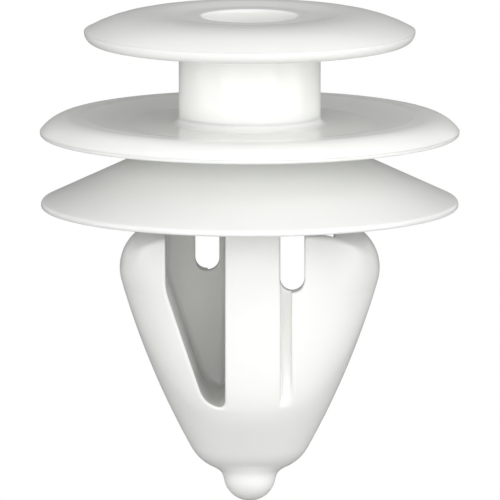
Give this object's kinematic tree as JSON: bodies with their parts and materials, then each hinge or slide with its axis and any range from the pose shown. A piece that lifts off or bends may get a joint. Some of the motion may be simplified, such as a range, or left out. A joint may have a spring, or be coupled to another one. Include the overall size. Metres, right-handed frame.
{
  "type": "push-in trim panel clip",
  "caption": "Push-in trim panel clip: head disc and flange on a short neck, an umbrella seal, and a split anchor with two sprung wings and a rounded pilot tip.",
  "frame": {"origin": "on the clip's axis, in the plane of the seal's rim, where the clip meets the sheet it is pushed into", "axes": "+Z along the clip's axis towards the head disc, +X towards the right wing, -Y towards the front post"},
  "size_m": [0.017, 0.017, 0.02],
  "materials": {
    "nylon": "semi-gloss moulded nylon, off-white",
    "seal_nylon": "semi-gloss moulded nylon, off-white, thin enough to flex"
  },
  "bodies": {
    "core": {"head_disc": "nylon", "neck": "nylon", "panel_flange": "nylon", "seal_skirt": "seal_nylon", "stem": "nylon", "centre_web": "nylon", "front_post": "nylon", "back_post": "nylon", "nose_cone": "nylon", "pilot_tip": "nylon", "right_living_hinge": "nylon", "left_living_hinge": "nylon"},
    "right_wing": {"right_wing": "nylon", "right_wing_wall": "nylon"},
    "left_wing": {"left_wing": "nylon", "left_wing_wall": "nylon"},
    "seal_rim": {"seal_lip": "seal_nylon"}
  },
  "joints": [
    {"name": "right_wing_flex", "type": "hinge", "parent": "core", "child": "right_wing", "pos_m": [0.00146, -0.0028, -0.005], "axis": [0, 0, 1], "range_deg": [0, 9], "stiffness_Nm_per_rad": 0.05, "deforming": ["right_living_hinge"]},
    {"name": "left_wing_flex", "type": "hinge", "parent": "core", "child": "left_wing", "pos_m": [-0.00146, 0.0028, -0.005], "axis": [0, 0, 1], "range_deg": [0, 9], "stiffness_Nm_per_rad": 0.05, "deforming": ["left_living_hinge"]},
    {"name": "seal_press", "type": "slide", "parent": "core", "child": "seal_rim", "axis": [0, 0, 1], "range_m": [0, 0.0008], "stiffness_N_per_m": 12000, "deforming": ["seal_skirt"]}
  ]
}
